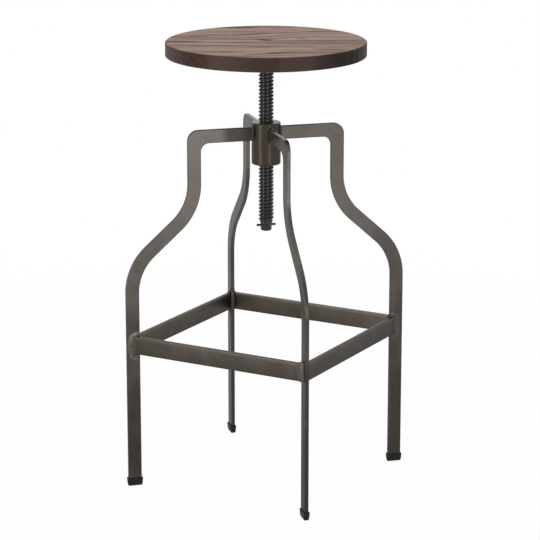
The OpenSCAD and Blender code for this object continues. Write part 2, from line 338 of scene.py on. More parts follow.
def gunmetal(name, dark, light, shine=0.38, edge=edge_tint, pale_top_and_face_shade=0.0, top_highlight=0.0, side_shade=0.0, hub_shade=0.0):
    """Colour runs from dark to light with 0.62 + brush marks + clouds, less a painted shade that is 0 above
    its upper height and grows smoothly towards the floor. The last four say how much paler a footrest bar is
    along its top edge, with painted shade down its face, how much a painted highlight lightens an arm's
    upper edge, and how much painted shade darkens narrow sides and a hub's arm."""
    steel = Finish(name, Metallic=0.8, Coat_Weight=0.1, Coat_Roughness=0.2, Specular_Tint=edge)
    marks = steel.noise(steel.note("straight"), (14, 1500, 1500), 3)
    clouds = steel.noise(steel.place(), 16, 3, 0.6)
    # painted shade: the colour darkens towards the floor
    floor_shade = 1 - steel.rise(steel.height(), floor_shade_low, floor_shade_high)
    tone = (marks - 0.5) * 0.55 + (clouds - 0.5) * 0.9 + 0.62 - floor_shade * 0.45
    # painted shade: the arms darken towards the hub
    if hub_shade:
        tone = tone - (1 - steel.rise(steel.distance(), hub_shade_inside, hub_shade_outside)) * hub_shade
    across = steel.parts_of(steel.note("straight"))[1]
    # painted shade: the narrow sides of a bar are darker
    if side_shade:
        tone = tone - steel.rise(steel.math("ABSOLUTE", across), side_shade_inside, side_shade_outside) * side_shade
    # painted shade: the face darkens towards the bar's lower edge; the top edge is paler
    if pale_top_and_face_shade:
        ragged = across + (clouds - 0.5) * 0.002
        tone = tone + across * 8 + steel.rise(ragged, pale_top_inside, pale_top_outside) * pale_top_and_face_shade
    colour = steel.blend(steel.rise(tone, 0.0, 1.0), dark, light)
    paint_top_highlight(steel, colour, (marks - 0.5) * 0.16 + (clouds - 0.5) * 0.2 + shine, arm_top, top_highlight)
    steel.relief(marks, 0.00002, 0.35)
    return steel.material


# The legs wear lit and shaded copies of one finish: their colours, the front leg's duller edge tint and the
# painted highlight and shade set on each follow how light falls on that leg.
leg_finishes = {
    "front_left": gunmetal("gunmetal_left_leg", shade(54, 47, 40), shade(102, 97, 91), hub_shade=1.05),
    "front_right": gunmetal("gunmetal_front_leg", shade(54, 49, 44), shade(118, 113, 108),
                            edge=dull_edge_tint, top_highlight=0.7, side_shade=0.19),
    "back_right": gunmetal("gunmetal_right_leg", shade(58, 51, 44), shade(98, 93, 87), hub_shade=0.2),
    "back_left": gunmetal("gunmetal_back_leg", shade(58, 52, 46), shade(110, 105, 100),
                          top_highlight=0.5, side_shade=0.13),
}
# Lit and shaded copies of one finish: each bar's colours are scaled by its painted light level, darker at
# the front and right and lighter at the back.
footrest_finishes = {
    place: gunmetal(f"gunmetal_footrest_{place}", shade(56 * painted_light, 50 * painted_light, 43 * painted_light),
                    shade(97 * painted_light, 90 * painted_light, 83 * painted_light), shine=0.4, pale_top_and_face_shade=0.35)
    for place, painted_light in {"front": 0.96, "right": 0.90, "back": 1.14, "left": 1.0}.items()
}
print("finishes:", [finish.name for finish in (*leg_finishes.values(), *footrest_finishes.values())])

# %% [markdown]
# A turned piece carries the marks of the lathe: very fine rings round its axis. They depend on height and
# on distance from the axis alone, so those two numbers are all that the pattern reads.

# %% Turned steel
hub_low, hub_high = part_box("threaded_hub")


def turned_steel(name, dark, light, shine, metallic, lacquer, top_highlight=0.0, edge=edge_tint):
    steel = Finish(name, Metallic=metallic, Coat_Weight=lacquer, Coat_Roughness=0.1, Specular_Tint=edge)
    place = {"X": steel.distance(), "Z": steel.height()}
    rings = steel.noise(steel.add("ShaderNodeCombineXYZ", {}, place)["Vector"], 700)
    clouds = steel.noise(steel.place(), (45, 45, 30), 3, 0.6)
    colour = steel.blend((rings - 0.5) * 0.5 + (clouds - 0.5) * 0.8 + 0.5, dark, light)
    paint_top_highlight(steel, colour, (rings - 0.5) * 0.16 + (clouds - 0.5) * 0.18 + shine, hub_high.z, top_highlight)
    steel.relief(rings, 0.000006, 0.4)
    return steel.material


# a painted highlight pales the hub's top
hub_finish = turned_steel("hub_steel", shade(45, 38, 31), shade(73, 65, 54), 0.42, 0.85, 0.12, top_highlight=0.58)
black_finish = turned_steel("black_steel", shade(17, 16, 16), shade(48, 46, 46), 0.15, 0.85, 0.55)
plate_finish = turned_steel("black_plate", shade(18, 18, 18), shade(40, 39, 38), 0.5, 0.3, 0.0,
                            edge=dull_edge_tint)
zinc_finish = turned_steel("zinc_steel", shade(150, 150, 146), shade(200, 200, 196), 0.3, 0.95, 0.0)
print("finishes:", hub_finish.name, black_finish.name, plate_finish.name, zinc_finish.name)

# %% [markdown]
# Moulded rubber is matt and nearly black. A mould leaves a fine even grain, and handling leaves paler dust
# in patches.

# %% Rubber
def rubber():
    finish = Finish("black_rubber", Specular_IOR_Level=0.25)
    grain = finish.noise(finish.place(), 1400)
    dusty = finish.rise(finish.noise(finish.place(), 120, 4, 0.65), 0.42, 0.75)
    finish.set("Base Color", finish.blend(dusty, shade(13, 12, 9), shade(26, 25, 20)))
    finish.set("Roughness", (grain - 0.5) * 0.2 + 0.62)
    finish.relief(grain, 0.00006, 0.5)
    return finish.material


rubber_finish = rubber()
print("finish:", rubber_finish.name)

# %% [markdown]
# The seat is glued up from walnut-brown boards that all run the same way. A board is cut from a round log,
# so its figure is a slice through rings: stripes on the top, where the slice runs along the log, and arcs
# on the ends. One solid formula gives both. Each board gets its own log centre, the distance from that
# centre makes the rings, and stretched noise bends them and adds the dark pores and streaks.

# %% Wood as slices through logs
grain_turn = math.radians(29)
board_width = 0.110
first_joint = -0.095
bend_start = -0.055
bend_end = 0.075
ring_spacing = 0.005
log_depth = 0.05
log_spread = 0.12
log_depth_spread = 0.06
ring_wander = 0.06
seat_low, seat_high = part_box("wooden_seat")
seat_radius = seat_high.x
seat_top = seat_high.z


def grain_place(wood):
    """The place turned so that x runs along the boards and y across them."""
    sockets = {"Vector": wood.place(), "Rotation": (0, 0, -grain_turn)}
    return wood.add("ShaderNodeMapping", {"vector_type": "POINT"}, sockets)["Vector"]


def board_numbers(wood, board):
    """Three random numbers for a board: they depend on its count across the seat."""
    colour = wood.add("ShaderNodeTexWhiteNoise", {"noise_dimensions": "1D"}, {"W": board + 7})["Color"]
    split = wood.add("ShaderNodeSeparateColor", {}, {"Color": colour})
    return split["Red"], split["Green"], split["Blue"]


def bent_place(wood, along, across, height, board):
    """The place with the grain made straight. A board's grain steps sideways between two places along it, by
    40 mm in the back boards, 10 mm in the middle one and 24 mm in the front one. The boards' counts also
    push their places apart, so that no board repeats its neighbour's figure."""
    back = wood.math("GREATER_THAN", board, 0.5)
    front = wood.math("LESS_THAN", board, -0.5)
    step = back * 0.030 + front * 0.014 + 0.010
    straight = across - wood.rise(along, bend_start, bend_end) * step
    parts = {"X": along + board * 0.7, "Y": straight, "Z": height}
    return wood.add("ShaderNodeCombineXYZ", {}, parts)["Vector"]


def log_rings(wood, place, across, height, first, second):
    """sqrt(y^2 + z^2) from the log's centre, plus a slow wander, counted in rings."""
    sideways = across + (first - 0.5) * log_spread
    upwards = height - seat_top + log_depth + second * log_depth_spread
    wander = wood.noise(place, (5, 26, 26), 3, 0.55, 0.6)
    distance = (sideways * sideways + upwards * upwards) ** 0.5 + (wander - 0.5) * ring_wander
    return distance / ring_spacing


# %% [markdown]
# A few streaks are listed one by one, because the eye remembers them: a dark eye near the middle, a long
# mark by the front edge, a thin line at one end and a few pale lines. Each is a soft oval that lies along
# its own slope, and its outline is frayed by noise. The lists give, in mm, where its middle is along and
# across the boards and half its length and width, and then its slope and its strength.

# %% Streaks of the top
mm = 0.001
streak_fray = 0.007
dark_streaks = [
    (-5, 10, 16, 8.5, -0.42, 1.00), (-8, 12, 40, 5, -0.08, 0.75), (-134, -7, 44, 7.5, -0.04, 1.00),
    (18, -114, 26, 8.5, 0.40, 1.00), (34, -110, 40, 6, 0.14, 0.90), (-14, -126, 26, 5, 0.30, 0.70),
    (-95, 56, 48, 8, 0.05, 0.50), (-22, 66, 50, 8.5, 0.33, 0.65), (45, 85, 50, 8, 0.28, 0.50),
    (95, 94, 40, 7, 0.03, 0.70), (-38, 131, 34, 9, 0.00, 0.80), (56, 24, 12, 6, -0.20, 0.75),
    (100, -83, 34, 6, 0.00, 0.80), (-72, -108, 46, 5.5, 0.00, 0.75), (-50, -11, 45, 4.5, 0.00, 0.55),
    (-105, 40, 20, 5, 0.10, 0.40), (10, -55, 60, 4.5, 0.03, 0.35),
]
pale_streaks = [
    (-45, -131, 48, 8, 0.02, 0.90), (-100, -26, 62, 6, 0.00, 0.90), (-90, 71, 66, 6.5, 0.10, 0.80),
    (52, 12, 90, 5, 0.06, 0.80), (-55, -1, 52, 5, 0.02, 0.90), (20, 112, 60, 7, 0.10, 0.60),
]


def streak_mask(wood, listed, along, across, fray):
    """The ovals together: each is 1 at its middle and 0 past its length and width."""
    clear = 1.0
    for middle_along, middle_across, half_length, half_width, slope, strength in listed:
        ahead = along - middle_along * mm
        u = ahead / (half_length * mm)
        aside = across - middle_across * mm - ahead * slope + (fray - 0.5) * streak_fray
        v = aside / (half_width * mm)
        clear = (1 - wood.rise(1 - (u * u + v * v) ** 0.5, 0.0, 0.5) * strength) * clear
    return 1 - clear


# %% [markdown]
# The boards run in broad soft bands, light and dark by turns, with fine fibres and open pores in them. A
# second slow noise shifts the hue between a warm and a greyer brown, as stain does on wood that drinks
# unevenly.

# %% Colour of the top
def top_colour(wood, place, marks, pale, rings, board):
    """Colours from dark to light with 0.62 + bands + stripes + fibres + rings + the board's own tone."""
    bands = wood.noise(place, (5, 60, 30), 2, 0.55, 0.2)
    stripes = wood.noise(place, (6, 120, 60), 3, 0.65)
    fibres = wood.noise(place, (40, 500, 500), 3, 0.65)
    wave = wood.math("PINGPONG", rings, 1.0)
    tone = (bands - 0.5) * 1.3 + (stripes - 0.5) * 2.1 + (fibres - 0.5) * 0.9 + (wave - 0.5) * 0.1
    tone = wood.rise(tone + (board - 0.5) * 0.15 + pale * 0.4 + 0.62, 0.0, 1.0)
    hue = wood.rise(wood.noise(place, (4, 30, 30)), 0.4, 0.62)
    dark = wood.blend(hue, shade(88, 67, 56), shade(86, 67, 58))
    light = wood.blend(hue, shade(158, 133, 117), shade(156, 133, 120))
    colour = wood.blend(tone, dark, light)
    lines = wood.rise(wood.noise(place, (7, 150, 70), 3, 0.6, 0.5), 0.59, 0.70)
    colour = wood.blend(lines * 0.45, colour, shade(82, 60, 48))
    colour = wood.blend(marks, colour, shade(56, 33, 22))
    pores = wood.rise(wood.noise(place, (70, 1600, 1600)), 0.60, 0.74)
    return wood.blend(pores * 0.3, colour, shade(60, 46, 39)), fibres * 0.6 + bands * 0.3 - pores * 0.5


# %% [markdown]
# The sawn rim drinks more stain than the top, so it is much darker. It shows the boards' ends at two sides
# and their long edges at the other two, and each board took the stain in its own way. The tones are
# therefore listed by their turn round the rim, counted in degrees from the middle of the front board. The
# ends show upright saw and growth lines, and one board shows the warm arcs of its rings.

# %% Colour of the rim
rim_tones = [
    (-180, 0.45), (-140, 0.70), (-115, 0.55), (-90, 1.05), (-66, 0.84), (-60, 0.78), (-54, 0.55),
    (-48, 0.45), (-43, 0.70), (-36, 0.88), (-29, 0.95), (-22, 0.84), (-8, 0.61), (5, 0.55), (9, 0.76),
    (22, 0.80), (27, 0.72), (30, 0.58), (44, 0.27), (58, 0.16), (64, 0.16), (72, 0.42), (90, 0.60),
    (120, 0.40), (150, 0.60), (180, 0.45),
]
arc_turn = -43
arc_half = 11
arc_centre_across = -0.094
arc_centre_height = seat_low.z - 0.004


def rim_colour(wood, place, along, across, height):
    """A tone from the ramp, with noise and upright lines, and the ring arcs blended in where they show."""
    turn = wood.math("ARCTAN2", along, 0 - across)
    stops = [(degrees / 360 + 0.5, (tone, tone, tone, 1.0)) for degrees, tone in rim_tones]
    share = turn / (2 * math.pi) + 0.5
    listed = wood.add("ShaderNodeValToRGB", {"stops": stops}, {"Fac": share})["Color"]
    blotches = wood.noise(place, (22, 22, 60), 3, 0.55, 0.8)
    lines = wood.noise(place, (240, 420, 9), 2, 0.6)
    ends = wood.rise(wood.math("ABSOLUTE", along) / seat_radius, 0.72, 0.92)
    tone = listed + (blotches - 0.5) * 0.5 + (lines - 0.5) * (ends * 1.1 + 0.12)
    colour = wood.blend(wood.rise(tone, -0.1, 1.05), shade(29, 22, 20), shade(84, 67, 64))
    sideways = across - arc_centre_across
    upwards = height - arc_centre_height
    reach = (sideways * sideways + upwards * upwards) ** 0.5 + (wood.noise(place, 60) - 0.5) * 0.006
    arcs = wood.noise(wood.add("ShaderNodeCombineXYZ", {}, {"X": reach})["Vector"], (420, 1, 1))
    warm = wood.blend(wood.rise(arcs, 0.38, 0.66), shade(50, 36, 30), shade(88, 62, 46))
    near = wood.math("ABSOLUTE", turn * math.degrees(1) - arc_turn) / arc_half
    return wood.blend(wood.rise(near + (blotches - 0.5) * 1.2, 1.15, 0.55) * 0.75, colour, warm)


# %% [markdown]
# The whole seat wears one finish. Where the surface reaches the seat's full radius it takes the rim's
# colour, and the eased edge between rim and top is worn through to lighter wood in patches. One finish for
# all of it lets the boards' figure run on from the top into the rim.

# %% Walnut finish
rim_inside = 0.0018
rim_outside = 0.0006
edge_below = 0.0032
edge_above = 0.0012


def walnut():
    """The top's colour, the rim's below and outside a worn edge, and a line of bare wood along that edge."""
    wood = Finish("dark_wood", Specular_IOR_Level=0.1)
    place = grain_place(wood)
    along, across, height = wood.parts_of(place)
    board = wood.math("FLOOR", (across - first_joint) / board_width)
    red, green, blue = board_numbers(wood, board)
    rings = log_rings(wood, place, across, height, red, green)
    fray = wood.noise(place, (30, 200, 60), 3, 0.6)
    marks = streak_mask(wood, dark_streaks, along, across, fray)
    pale = streak_mask(wood, pale_streaks, along, across, fray)
    straight = bent_place(wood, along, across, height, board)
    top, grain = top_colour(wood, straight, marks, pale, rings, blue)
    side = rim_colour(wood, place, along, across, height)
    patches = wood.noise(place, 30, 3, 0.6)
    distance = wood.distance() + (patches - 0.5) * 0.002
    rim = wood.rise(distance, seat_radius - rim_inside, seat_radius - rim_outside)
    edge = wood.rise(height, seat_top - edge_below, seat_top - edge_above) * rim
    colour = wood.blend(rim, top, side)
    colour = wood.blend(edge * wood.rise(patches, 0.52, 0.62) * 0.5, colour, shade(104, 70, 54))
    wood.set("Base Color", colour)
    wood.set("Roughness", (fray - 0.5) * 0.2 + 0.6)
    wood.relief(grain, 0.0003, 0.6)
    return wood.material


wood_finish = walnut()
print("finish:", wood_finish.name, "with", len(wood_finish.node_tree.nodes), "nodes")

# %% [markdown]
# Each leg is one flat bar. Seen from its side it goes straight up from the foot, leans in through two
# bends, goes up again, and turns in to the hub at a rounded corner. Its two edges are worked out station by
# station, and at each station a rounded rectangle stands between them. The bends share a centre, so the
# bar keeps its width there. The corner's two arcs do not, so the bar is a little wider at the corner.

# %% Edges of a leg
bar_width = 0.0215
bar_thickness = 0.0065
lower_bend_height = 0.319
upper_leg_distance = 0.117
bend_radius = 0.088
bend_angle = 48
outer_corner_radius = 0.0175
inner_corner_radius = 0.0135
bend_steps = 28
corner_steps = 18
hub_radius = hub_high.x
leg_low, leg_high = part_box("leg_back_right")
lower_leg_distance = leg_high.x * math.sqrt(2) - bar_thickness / 2 - bar_width / 2
arm_bottom = arm_top - bar_width


def arc(centre_x, centre_z, radius, start, end, steps):
    """centre + radius * (cos a, sin a), with the angle a going evenly from start to end, in degrees."""
    a = np.radians(np.linspace(start, end, steps + 1))
    return stacked(centre_x + radius * np.cos(a), centre_z + radius * np.sin(a))


def leg_edge(side):
    """One edge of a leg as (distance from the middle, height). side is 1 for the outer edge, -1 for the
    inner one."""
    half = side * bar_width / 2
    angle = math.radians(bend_angle)
    lean = (lower_leg_distance - upper_leg_distance) - 2 * bend_radius * (1 - math.cos(angle))
    upper_bend_height = lower_bend_height + 2 * bend_radius * math.sin(angle) + lean / math.tan(angle)
    corner, end = (outer_corner_radius, arm_top) if side > 0 else (inner_corner_radius, arm_bottom)
    return np.concatenate([
        [[lower_leg_distance + half, leg_low.z]],
        arc(lower_leg_distance - bend_radius, lower_bend_height, bend_radius + half,
            0, bend_angle, bend_steps),
        arc(upper_leg_distance + bend_radius, upper_bend_height, bend_radius - half,
            180 + bend_angle, 180, bend_steps),
        arc(upper_leg_distance + half - corner, end - corner, corner, 0, 90, corner_steps),
        [[hub_radius, end]],
    ])


outer_edge = leg_edge(1)
inner_edge = leg_edge(-1)
print("stations along a leg:", len(outer_edge))

# %% [markdown]
# Rolled flat bar has slightly rounded edges, and they are what catches the light, so a bar's section is a
# rounded rectangle and not a sharp one. It is carried along the leg, each time square to the bar, and its
# last ring is bent to the round of the hub. The four legs are turned copies of one.

# %% A rounded rectangle carried along a leg
edge_steps = 4
bar_edge = 0.0012


def rounded_rectangle(half_a, half_b, corner):
    """Points (a, b) counter-clockwise: in each corner, its sign times (half side - corner radius), plus a
    quarter circle."""
    turn = (np.arange(4)[:, None] * math.pi / 2 + np.linspace(0, math.pi / 2, edge_steps + 1)).ravel()
    sign_a = np.repeat([1, -1, -1, 1], edge_steps + 1)
    sign_b = np.repeat([1, 1, -1, -1], edge_steps + 1)
    a = sign_a * (half_a - corner) + corner * np.cos(turn)
    return a, sign_b * (half_b - corner) + corner * np.sin(turn)


def run_along(path):
    """How far along the path each of its points lies."""
    return np.concatenate([[0], np.cumsum(np.linalg.norm(np.diff(path, axis=0), axis=1))])


def leg_rings():
    """middle + direction * a, and b sideways, where (a, b) runs round the rounded rectangle."""
    middle = (outer_edge + inner_edge) / 2
    span = outer_edge - inner_edge
    width = np.linalg.norm(span, axis=1, keepdims=True)
    a, b = rounded_rectangle(width / 2, bar_thickness / 2, bar_edge)
    flat = middle[:, None] + (span / width)[:, None] * a[..., None]
    points = stacked(flat[..., 0], b, flat[..., 1])
    points[-1, :, 0] = np.sqrt(hub_radius ** 2 - b ** 2)
    return points, stacked(run_along(middle)[:, None], a, b)


def turned(points, degrees):
    """Points turned about the stool's middle."""
    c = math.cos(math.radians(degrees))
    s = math.sin(math.radians(degrees))
    return points @ np.array([[c, s, 0], [-s, c, 0], [0, 0, 1]])


leg_angles = {"front_left": 225, "front_right": 315, "back_right": 45, "back_left": 135}
leg_points, leg_straight = leg_rings()
for place, degrees in leg_angles.items():
    leg = add_piece(f"leg_{place}_bar", turned(leg_points, degrees), even=True,
                    straight=leg_straight + [0, 0, degrees])
    dress(leg, "frame", [f"leg_{place}"], leg_finishes[place])

# %% [markdown]
# Each leg stands in a rubber foot: a small cup with a flat bottom, sides that flare a little upwards and a
# rounded lip. Its rings are rounded rectangles again, but now they lie level. The list of rings goes up
# the outside, over the lip and down the inside to the leg's end, where a last flat face closes it.

# %% Rubber feet
foot_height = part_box("foot_back_right")[1].z
foot_floor = leg_low.z
lip_grow = 0.0018
wall_grow = 0.0013
bottom_grow = 0.0005
foot_corner = 0.0012
least_corner = 0.0003
fit_grow = 0.00002
foot_rings = np.array([
    [0.0000, bottom_grow - 0.0009],
    [0.0001, bottom_grow - 0.0005],
    [0.0004, bottom_grow - 0.0001],
    [0.0010, bottom_grow + 0.0001],
    [foot_floor, wall_grow],
    [foot_height - 0.0022, lip_grow - 0.0002],
    [foot_height - 0.0012, lip_grow],
    [foot_height - 0.0005, lip_grow - 0.0002],
    [foot_height - 0.0001, lip_grow - 0.0006],
    [foot_height, lip_grow - 0.0010],
    [foot_height - 0.0002, fit_grow + 0.0002],
    [foot_height - 0.0008, fit_grow],
    [foot_floor, fit_grow],
])


def foot_points():
    """At each ring's height, a rounded rectangle of the bar's size, grown by the ring's second number."""
    height, grow = foot_rings.T[:, :, None]
    corner = np.clip(foot_corner + grow, least_corner, foot_corner)
    a, b = rounded_rectangle(bar_width / 2 + grow, bar_thickness / 2 + grow, corner)
    return stacked(lower_leg_distance + a, b, height)


for place, degrees in leg_angles.items():
    foot = add_piece(f"foot_{place}_rubber", turned(foot_points(), degrees))
    dress(foot, "frame", [f"foot_{place}"], rubber_finish)

# %% [markdown]
# Four flat bars on edge make the footrest. Each fits between two legs, so its ends are cut at 45 degrees to
# lie flat against them. The cut is in the formula: a point nearer the middle of the stool ends sooner.

# %% Footrest bars
footrest_low, footrest_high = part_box("footrest_front")
footrest_outside = -footrest_low.y
footrest_thickness = footrest_high.y - footrest_low.y
footrest_half_length = footrest_high.x
footrest_half_height = (footrest_high.z - footrest_low.z) / 2
footrest_middle = (footrest_high.z + footrest_low.z) / 2
footrest_edge = 0.0018
footrest_stations = 9


def footrest_rings():
    """x = share * (half length - depth behind the outer face), with share going from -1 to 1."""
    y, z = rounded_rectangle(footrest_thickness / 2, footrest_half_height, footrest_edge)
    share = np.linspace(-1, 1, footrest_stations)[:, None]
    x = share * (footrest_half_length - footrest_thickness / 2 - y)
    middle = [0, footrest_thickness / 2 - footrest_outside, footrest_middle]
    return stacked(x, y, z) + middle, stacked(x, z, y)


footrest_turns = {"front": 0, "right": 90, "back": 180, "left": 270}
footrest_points, footrest_straight = footrest_rings()
for place, degrees in footrest_turns.items():
    bar = add_piece(f"footrest_{place}_bar", turned(footrest_points, degrees), even=True,
                    straight=footrest_straight + [0, 0, degrees + 45])
    dress(bar, "frame", [f"footrest_{place}"], footrest_finishes[place])

# %% [markdown]
# Each end of a footrest bar is welded to the flat side of a leg. The weld was laid as a thick bead round
# the bar's end and then ground down, which left a low mound in the shape of a C: it begins above the bar,
# comes down past its outer face and runs out below it. The C is a path on the leg's flat side, and the
# mound is a strip carried along it, so its width and height are each a curve along the path.

# %% Path of a ground weld
mound_round = 0.002
mound_top_start = 0.0006
mound_low_end = 0.0045
mound_steps = 9
same_point = 1e-6


def mound_path():
    """The C round a bar's end as (distance from the middle, height), the direction away from the bar at
    each point, and the share of the way along. Between two knots, the centre and the angle both go
    evenly, and the path lies mound_round from the centre, in the direction of the angle."""
    inner = lower_leg_distance - footrest_thickness * math.sqrt(2)
    outer = lower_leg_distance - mound_round
    high, low = footrest_high.z - mound_round, footrest_low.z + mound_round
    knots = np.array([
        [inner + mound_top_start, high, 90], [outer, high, 90], [outer, high, 0],
        [outer, low, 0], [outer, low, -90], [outer - mound_low_end, low, -90],
    ])
    way = np.concatenate([np.linspace(a, b, mound_steps) for a, b in zip(knots, knots[1:])])
    angle = np.radians(way[:, 2])
    away = stacked(np.cos(angle), np.sin(angle))
    path = way[:, :2] + mound_round * away
    run = run_along(path)
    keep = np.diff(run, prepend=-1) > same_point
    return path[keep], away[keep], run[keep] / run[-1]


# %% [markdown]
# Across the strip the mound starts on the bar's face, a few millimetres away from the leg, and sinks in a
# hollow towards the leg. There it swells to a low crest and falls off steeply at its outer border. Along
# the path it is full beside the bar and thins out to both ends. Each point also notes how much painted shade
# and painted highlight it takes: painted shade darkens the hollow beside the bar, and a painted highlight
# lights the crest, most on the upper part. At some joints painted shade darkens the outer border too.

# %% Ground welds of the footrest
mound_sides = 14
mound_sink = 0.0004
mound_inside = 0.0006
mound_reach = [
    (0.0, 0.0080), (0.12, 0.0080), (0.19, 0.0066), (0.35, 0.0082), (0.5, 0.0094), (0.65, 0.0097),
    (0.84, 0.0094), (0.92, 0.0118), (1.0, 0.0132),
]
mound_body = [(0.0, 0.25), (0.12, 0.75), (0.3, 1.0), (0.65, 1.0), (0.85, 0.7), (1.0, 0.2)]
# painted highlight, then painted shade in the hollow, along the path
mound_highlight = [(0.0, 0.5), (0.15, 0.9), (0.28, 1.0), (0.45, 0.5), (0.7, 0.4), (0.88, 0.6), (1.0, 0.4)]
mound_crease_shade = [(0.0, 0.8), (0.15, 0.6), (0.3, 0.25), (0.6, 0.2), (0.8, 0.45), (1.0, 0.3)]
crest_place = 0.8
crest_height = 0.0010
diagonal = math.sqrt(0.5)


def along_path(table, share):
    """A table of (share of the way, value), read between its entries, as one column."""
    keys, values = np.array(table).T
    return np.interp(share, keys, values)[:, None]


def mound_rings(reach_factor, bar_reach, border_shade, bright):
    """path + away * reach * u, drawn along the bar by bar_reach * (1 - u)^1.4 and lifted from the leg by the
    crest, with u from 0 at the bar to 1. The ring goes back under the surface. The notes are (painted shade
    in the hollow, painted highlight on the crest, painted shade on the outer border)."""
    path, away, share = mound_path()
    u = np.linspace(0, 1, mound_sides)
    body = along_path(mound_body, share)
    draw = body * bar_reach * (1 - u) ** 1.4
    falling = 1 - (np.clip(u - crest_place, 0, 1) / (1 - crest_place)) ** 2
    crest = body * crest_height * reach_factor ** 2 * np.minimum(u / crest_place, 1) ** 1.5 * falling
    spread = along_path(mound_reach, share) * reach_factor * u
    flat = path[:, None] + away[:, None] * spread[..., None]
    surface = stacked(flat[..., 0] - draw, draw + crest, flat[..., 1])
    inside = path - away * mound_inside
    under = np.stack([
        stacked(flat[:, -1, 0], -mound_sink, flat[:, -1, 1]),
        stacked(inside[:, 0], -mound_sink, inside[:, 1]),
        stacked(inside[:, 0] - draw[:, 0], draw[:, 0], inside[:, 1]),
    ], axis=1)
    # painted shade in the hollow beside the bar, and a painted highlight near the crest
    crease_shade = along_path(mound_crease_shade, share) * np.clip(1 - u / 0.25, 0, 1) ** 1.2
    near_crest = np.clip(1 - np.abs(u - crest_place + 0.15) / 0.45, 0, 1)
    weld_highlight = bright * along_path(mound_highlight, share) * near_crest
    marks = stacked(crease_shade, weld_highlight, border_shade * np.clip((u - 0.86) / 0.1, 0, 1))
    return np.concatenate([surface, under], axis=1), np.concatenate([marks, np.zeros_like(under)], axis=1)


def onto_leg(local):
    """(distance from the middle, height over the leg's flat side, z) at the right end of the front bar."""
    outwards = np.array([diagonal, -diagonal, 0])
    facing = np.array([-diagonal, -diagonal, 0])
    distance, over, z = local[..., 0:1], local[..., 1:2] + bar_thickness / 2, local[..., 2:3]
    return outwards * distance + facing * over + [0, 0, 1] * z


# %% [markdown]
# The welds take the legs' finish, a little lighter and smoother. Painted shade darkens them in the hollow,
# and a painted highlight makes the smoother crest nearly as pale as bare steel.

# %% Finish of the welds
def ground_weld():
    """The leg's tones, blended to light by the painted highlight and to dark by the painted shade of the
    hollow and the border.
    """
    steel = Finish("gunmetal_ground", Metallic=0.8, Coat_Weight=0.1, Coat_Roughness=0.2,
                   Specular_Tint=edge_tint)
    crease_shade, weld_highlight, border_shade = steel.parts_of(steel.note("weld_marks"))
    clouds = steel.noise(steel.place(), 220, 3, 0.6)
    tone = steel.rise((clouds - 0.5) * 1.4 + 0.5, 0.0, 1.0)
    colour = steel.blend(tone, shade(68, 61, 54), shade(96, 89, 82))
    # a painted highlight on the crest
    colour = steel.blend(steel.rise(weld_highlight + (clouds - 0.5) * 0.5, 0.1, 1.1), colour, shade(122, 116, 109))
    # painted shade in the hollow, on the outer border and over the inner fillet
    shade_mask = steel.math("MAXIMUM", crease_shade, border_shade) + (clouds - 0.5) * 0.3
    steel.set("Base Color", steel.blend(steel.rise(shade_mask, 0.1, 1.0), colour, shade(42, 38, 33)))
    steel.set("Roughness", (clouds - 0.5) * 0.2 - weld_highlight * 0.08 + 0.42)
    steel.relief(clouds, 0.0002, 0.5)
    return steel.material


weld_finish = ground_weld()


def add_welds(name, node, beads):
    """One piece from many closed tubes, each given as its rings and its notes."""
    points, faces, notes = [], [], []
    for rings, marks in beads:
        first = sum(len(block) for block in points)
        points.append(rings.reshape(-1, 3))
        notes.append(marks.reshape(-1, 3))
        faces += shifted(band_faces(rings) + end_faces(rings), first)
    piece = add_piece(name, np.concatenate(points), faces, weld_marks=np.concatenate(notes))
    dress(piece, "frame", [node], weld_finish)


# %% [markdown]
# In the inner corner there is no room for a mound, because the bar meets the leg at its very edge. A narrow
# fillet closes that corner, painted dark with shade all over. Both kinds are made for the right end of the
# front bar, mirrored for its left end, and turned to the other three bars. A mirrored ring runs the other
# way round, so its points are reversed, which keeps its faces outwards. No two hand-ground welds are alike,
# so each has its own row; its last two numbers set the painted shade of its outer border and the strength
# of its painted highlight, which follow how light falls on that joint.

# %% Inner fillets, and all welds of the footrest in one piece
fillet_steps = 6
fillet_levels = 15
fillet_on_leg = 0.0010
fillet_on_bar = 0.0036
fillet_sink = 0.0006
fillet_least = 0.0002
fillet_end = 0.0003
joints = [
    (0.3, 0.008, 0.0, 0.8), (1.0, 0.0028, 0.2, 1.0), (0.86, 0.004, 1.0, 0.25), (0.6, 0.005, 0.4, 0.8),
    (0.99, 0.004, 0.2, 1.0), (0.97, 0.005, 0.5, 0.9), (0.98, 0.003, 0.3, 1.0), (1.0, 0.006, 0.2, 1.0),
]


def fillet_rings():
    """(1-u)^2 P + 2u(1-u) C + u^2 Q for u from 0 to 1, at levels t from -1 to 1, with P on the leg and Q on
    the bar, both drawn in to the corner C by sqrt(1 - t^8), and one more point behind C."""
    corner = np.array([footrest_half_length - footrest_thickness, footrest_thickness - footrest_outside])
    t = np.sin(np.linspace(-1, 1, fillet_levels) * math.pi / 2)[:, None, None]
    size = np.sqrt(np.clip(1 - t ** 8, 0, 1))
    u = np.linspace(0, 1, fillet_steps + 1)[None, :, None]
    p = corner + np.array([-diagonal, diagonal]) * (fillet_on_leg * size + fillet_least)
    q = corner + np.array([-1.0, 0.0]) * (fillet_on_bar * size + fillet_least)
    curve = (1 - u) ** 2 * p + 2 * u * (1 - u) * corner + u ** 2 * q
    behind = np.broadcast_to(corner + np.array([1 + diagonal, -diagonal]) * fillet_sink, curve[:, :1].shape)
    flat = np.concatenate([curve, behind], axis=1)[:, ::-1]
    height = footrest_middle + t[..., 0] * (footrest_half_height - fillet_end)
    return stacked(flat[..., 0], flat[..., 1], height)


